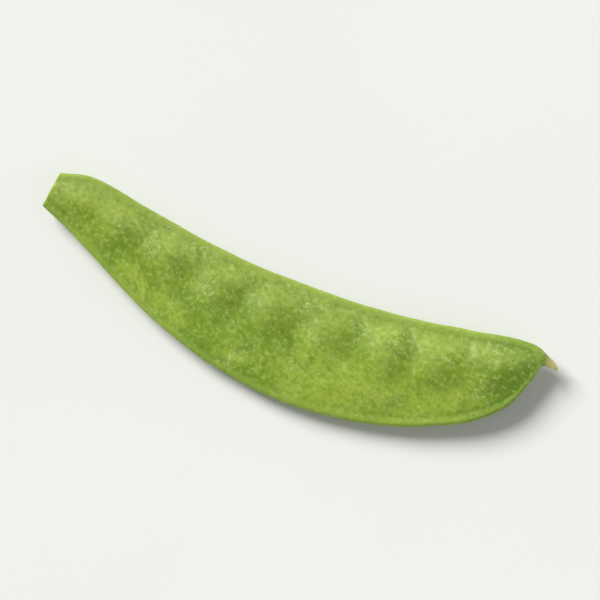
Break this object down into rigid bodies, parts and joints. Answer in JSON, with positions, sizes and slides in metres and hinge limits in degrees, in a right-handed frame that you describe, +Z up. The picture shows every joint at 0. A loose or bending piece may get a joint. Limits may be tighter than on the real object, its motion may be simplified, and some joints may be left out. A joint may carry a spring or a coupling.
{
  "type": "snow pea pod",
  "caption": "Flat snow pea pod lying on its side: upper edge nearly straight, lower edge bellied, soft seed bumps, trimmed stem end and a short beak.",
  "frame": {"origin": "on the surface that the pod lies on, under the middle of its box", "axes": "+X along the pod from the trimmed stem end to the beak, +Y across it towards the nearly straight upper suture, +Z up through its thickness"},
  "size_m": [0.084, 0.024, 0.0052],
  "materials": {
    "pod_skin": "waxy blanched pea skin, yellow-green, soft sheen"
  },
  "bodies": {
    "root": {"pod": "pod_skin"}
  },
  "joints": []
}
